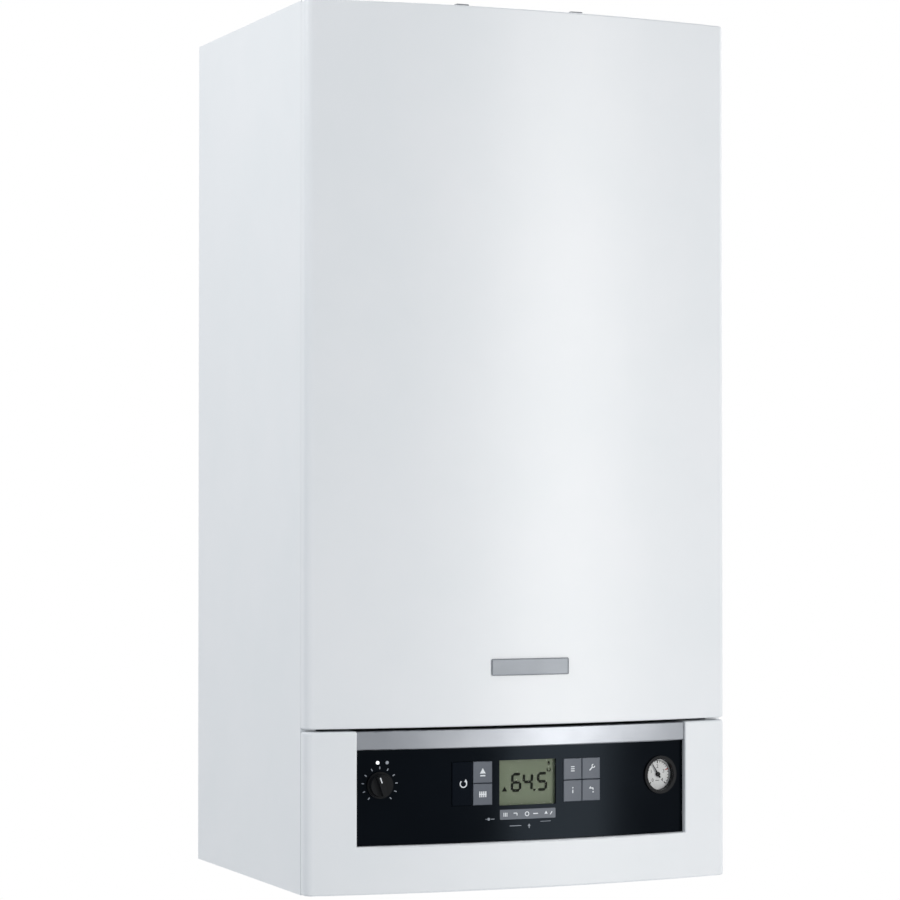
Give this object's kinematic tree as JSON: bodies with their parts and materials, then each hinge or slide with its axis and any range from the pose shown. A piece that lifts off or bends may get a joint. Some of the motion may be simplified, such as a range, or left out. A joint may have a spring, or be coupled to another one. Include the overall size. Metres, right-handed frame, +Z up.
{
  "type": "gas boiler",
  "caption": "Wall-hung gas condensing boiler with a bowed white front cover above a fold-down control panel with keys, display, knob and pressure gauge.",
  "frame": {"origin": "on the wall plane, midway between the two fixing holes of the wall bracket", "axes": "+Z up, +X to the right of someone facing the front, -Y out of the front"},
  "size_m": [0.44, 0.35, 0.865],
  "materials": {
    "white_powder_coat": "satin powder coat",
    "galvanised_sheet": "zinc-coated steel sheet",
    "white_moulding": "satin moulded plastic",
    "black_fascia": "gloss black plastic",
    "silver_trim": "brushed silver",
    "grey_moulding": "matt moulded plastic",
    "black_moulding": "matt black plastic",
    "grey_keys": "satin grey plastic",
    "steel_pin": "turned steel",
    "circuit_board": "green lacquered board",
    "display_glass": "liquid crystal display",
    "clear_lens": "clear plastic window",
    "white_dial": "printed white dial",
    "foam_seal": "foam rubber",
    "flue_plastic": "white polypropylene",
    "vessel_paint": "painted pressed steel",
    "cast_aluminium": "sand-cast aluminium",
    "motor_housing": "black painted metal",
    "stainless_steel": "stainless steel",
    "fan_moulding": "black moulded plastic",
    "copper_pipe": "drawn copper",
    "brass": "cast brass"
  },
  "bodies": {
    "chassis": {"air_vent": "brass", "burner": "stainless_steel", "burner_hood": "cast_aluminium", "condensate_sump": "black_moulding", "condensate_trap": "black_moulding", "connection_plate": "galvanised_sheet", "diverter_valve": "brass", "expansion_vessel": "vessel_paint", "fan_housing": "cast_aluminium", "fan_motor": "motor_housing", "flow_pipe": "copper_pipe", "flue_collar": "flue_plastic", "flue_duct": "flue_plastic", "gas_feed_pipe": "copper_pipe", "gas_pipe": "copper_pipe", "gas_valve": "cast_aluminium", "heat_exchanger": "cast_aluminium", "ignition_electrodes": "steel_pin", "left_side_panel": "white_powder_coat", "pipe_stubs": "copper_pipe", "plate_heat_exchanger": "stainless_steel", "pump_body": "brass", "pump_motor": "motor_housing", "rear_frame": "galvanised_sheet", "relief_valve": "brass", "return_pipe": "copper_pipe", "right_side_panel": "white_powder_coat", "support_shelf": "galvanised_sheet", "top_panel": "white_powder_coat", "valve_actuator": "grey_moulding", "venturi_mixer": "cast_aluminium", "wall_bracket": "galvanised_sheet"},
    "front_cover": {"front_cover": "white_powder_coat", "cover_seal": "foam_seal", "cover_catches": "black_moulding"},
    "control_unit": {"lower_panel": "white_moulding", "control_fascia": "black_fascia", "trim_strip": "silver_trim", "control_box": "grey_moulding", "hinge_pins": "steel_pin", "control_board": "circuit_board", "display_module": "display_glass", "display_lens": "clear_lens", "indicator_lamps": "clear_lens", "selector_switch": "grey_moulding", "gauge_case": "grey_moulding", "gauge_dial": "white_dial", "gauge_lens": "clear_lens"},
    "selector_knob": {"selector_knob": "black_moulding"},
    "gauge_needle": {"gauge_needle": "black_moulding"},
    "fan_impeller": {"fan_impeller": "fan_moulding"},
    "relief_knob": {"relief_knob": "black_moulding"},
    "reset_key": {"reset_key": "black_moulding"},
    "up_key": {"up_key": "grey_keys"},
    "down_key": {"down_key": "grey_keys"},
    "menu_key": {"menu_key": "grey_keys"},
    "heating_key": {"heating_key": "grey_keys"},
    "info_key": {"info_key": "grey_keys"},
    "water_key": {"water_key": "grey_keys"}
  },
  "joints": [
    {"name": "front_cover_pull", "type": "slide", "parent": "chassis", "child": "front_cover", "axis": [0, -1, 0], "range_m": [0, 0.15]},
    {"name": "control_unit_fold", "type": "hinge", "parent": "chassis", "child": "control_unit", "pos_m": [0, -0.205, -0.703], "axis": [1, 0, 0], "range_deg": [0, 90]},
    {"name": "reset_key_press", "type": "slide", "parent": "control_unit", "child": "reset_key", "axis": [0, 1, 0], "range_m": [0, 0.0012], "stiffness_N_per_m": 800},
    {"name": "up_key_press", "type": "slide", "parent": "control_unit", "child": "up_key", "axis": [0, 1, 0], "range_m": [0, 0.0012], "stiffness_N_per_m": 800},
    {"name": "down_key_press", "type": "slide", "parent": "control_unit", "child": "down_key", "axis": [0, 1, 0], "range_m": [0, 0.0012], "stiffness_N_per_m": 800},
    {"name": "menu_key_press", "type": "slide", "parent": "control_unit", "child": "menu_key", "axis": [0, 1, 0], "range_m": [0, 0.0012], "stiffness_N_per_m": 800},
    {"name": "heating_key_press", "type": "slide", "parent": "control_unit", "child": "heating_key", "axis": [0, 1, 0], "range_m": [0, 0.0012], "stiffness_N_per_m": 800},
    {"name": "info_key_press", "type": "slide", "parent": "control_unit", "child": "info_key", "axis": [0, 1, 0], "range_m": [0, 0.0012], "stiffness_N_per_m": 800},
    {"name": "water_key_press", "type": "slide", "parent": "control_unit", "child": "water_key", "axis": [0, 1, 0], "range_m": [0, 0.0012], "stiffness_N_per_m": 800},
    {"name": "selector_turn", "type": "hinge", "parent": "control_unit", "child": "selector_knob", "pos_m": [-0.148, -0.33423, -0.613], "axis": [-0.1314, -0.9913, 0], "range_deg": [-158, 122]},
    {"name": "gauge_reading", "type": "hinge", "parent": "control_unit", "child": "gauge_needle", "pos_m": [0.145, -0.33463, -0.613], "axis": [0.1288, -0.9917, 0], "range_deg": [-168, 102], "stiffness_Nm_per_rad": 0.0005},
    {"name": "fan_spin", "type": "hinge", "parent": "chassis", "child": "fan_impeller", "pos_m": [-0.105, -0.16, -0.055], "axis": [0, -1, 0], "continuous": true},
    {"name": "relief_turn", "type": "hinge", "parent": "chassis", "child": "relief_knob", "pos_m": [0.187, -0.13, -0.603], "axis": [0, -1, 0], "range_deg": [0, 90]}
  ]
}
